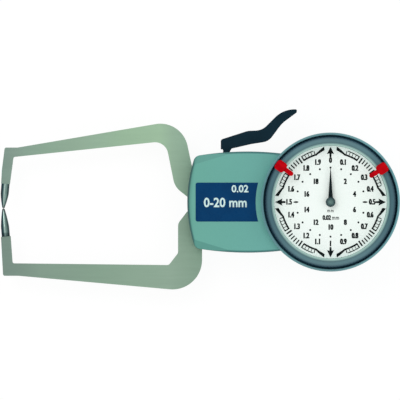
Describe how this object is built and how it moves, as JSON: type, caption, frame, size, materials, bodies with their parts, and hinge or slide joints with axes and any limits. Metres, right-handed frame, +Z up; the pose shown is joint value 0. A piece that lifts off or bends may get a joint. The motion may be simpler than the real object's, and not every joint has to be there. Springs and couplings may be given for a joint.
{
  "type": "outside dial caliper gauge",
  "caption": "Hand-held outside dial caliper gauge: two C-shaped arms with pointed contacts, moulded grip, thumb lever, turning dial with red markers.",
  "frame": {"origin": "on the back plane of the housing, under the dial's axis", "axes": "+X from the contacts to the dial, along the gauge; +Y towards the thumb lever; +Z up out of the dial"},
  "size_m": [0.1726, 0.078, 0.0291],
  "materials": {
    "housing": "fine satin moulded plastic, blue-green",
    "label": "smooth printed plate, deep blue",
    "case_metal": "satin grey-blue lacquer",
    "bezel_metal": "satin grey-blue lacquer, darker",
    "arm_metal": "fine blasted light alloy, green-grey anodised",
    "contact": "ground and polished dark hard metal",
    "lever_paint": "dark blue-black lacquer",
    "screw_steel": "turned steel",
    "spring_steel": "bright spring wire",
    "movement_brass": "plain brass",
    "pointer_black": "matt black lacquer",
    "cap_metal": "turned, grey",
    "crystal": "clear acrylic",
    "dial_white": "matt printed dial, greenish white",
    "marker_red": "glossy red plastic"
  },
  "bodies": {
    "housing": {"front_shell": "housing", "rear_shell": "housing", "housing_screws": "screw_steel", "label_plate": "label", "case_ring": "case_metal", "fixed_arm": "arm_metal", "fixed_arm_screws": "screw_steel", "fixed_contact": "contact", "pivot_pin": "screw_steel", "movement_plate_rear": "movement_brass", "movement_plate_front": "movement_brass", "plate_pillars": "movement_brass", "plate_screws": "screw_steel", "motion_stud": "screw_steel", "spring_post": "screw_steel", "return_spring": "spring_steel", "stop_pin": "screw_steel"},
    "swing_arm": {"moving_arm": "arm_metal", "pivot_bush": "movement_brass", "moving_contact": "contact", "lever": "lever_paint", "lever_screws": "screw_steel", "sector_gear": "movement_brass", "sector_screws": "screw_steel", "spring_pin": "screw_steel"},
    "idler": {"idler_arbor": "screw_steel", "idler_wheel": "movement_brass"},
    "fine_hand": {"centre_arbor": "screw_steel", "long_pointer": "pointer_black", "pointer_cap": "cap_metal"},
    "motion_work": {"motion_wheel": "movement_brass"},
    "coarse_hand": {"coarse_wheel": "movement_brass", "short_pointer": "pointer_black"},
    "bezel": {"bezel_ring": "bezel_metal", "crystal": "crystal", "crystal_ring": "case_metal", "dial_face": "dial_white"},
    "left_marker": {"marker_left": "marker_red"},
    "right_marker": {"marker_right": "marker_red"}
  },
  "joints": [
    {"name": "arm_pivot", "type": "hinge", "parent": "housing", "child": "swing_arm", "pos_m": [-0.0453, -0.0027, 0], "axis": [0, 0, -1], "range_deg": [0, 12], "stiffness_Nm_per_rad": 0.15, "springref_deg": -57.3, "deforming": ["return_spring"]},
    {"name": "idler_spin", "type": "hinge", "parent": "housing", "child": "idler", "pos_m": [-0.01178, -0.00501, 0], "axis": [0, 0, 1], "range_deg": [-0.5, 240.5]},
    {"name": "fine_hand_spin", "type": "hinge", "parent": "housing", "child": "fine_hand", "pos_m": [0, 0, 0], "axis": [0, 0, -1], "range_deg": [-1, 3601]},
    {"name": "motion_spin", "type": "hinge", "parent": "housing", "child": "motion_work", "pos_m": [0.00368, 0.00368, 0], "axis": [0, 0, 1], "range_deg": [-1, 1201]},
    {"name": "coarse_hand_spin", "type": "hinge", "parent": "housing", "child": "coarse_hand", "pos_m": [0, 0, 0], "axis": [0, 0, -1], "range_deg": [-0.5, 360.5]},
    {"name": "bezel_turn", "type": "hinge", "parent": "housing", "child": "bezel", "pos_m": [0, 0, 0], "axis": [0, 0, 1], "continuous": true},
    {"name": "left_marker_slide", "type": "hinge", "parent": "bezel", "child": "left_marker", "pos_m": [0, 0, 0], "axis": [0, 0, 1], "range_deg": [-45, 115]},
    {"name": "right_marker_slide", "type": "hinge", "parent": "bezel", "child": "right_marker", "pos_m": [0, 0, 0], "axis": [0, 0, 1], "range_deg": [-95, 45]}
  ],
  "couplings": [
    {"joint": "idler_spin", "follows": "arm_pivot", "ratio": 20},
    {"joint": "fine_hand_spin", "follows": "arm_pivot", "ratio": 300},
    {"joint": "motion_spin", "follows": "arm_pivot", "ratio": 100},
    {"joint": "coarse_hand_spin", "follows": "arm_pivot", "ratio": 30}
  ]
}
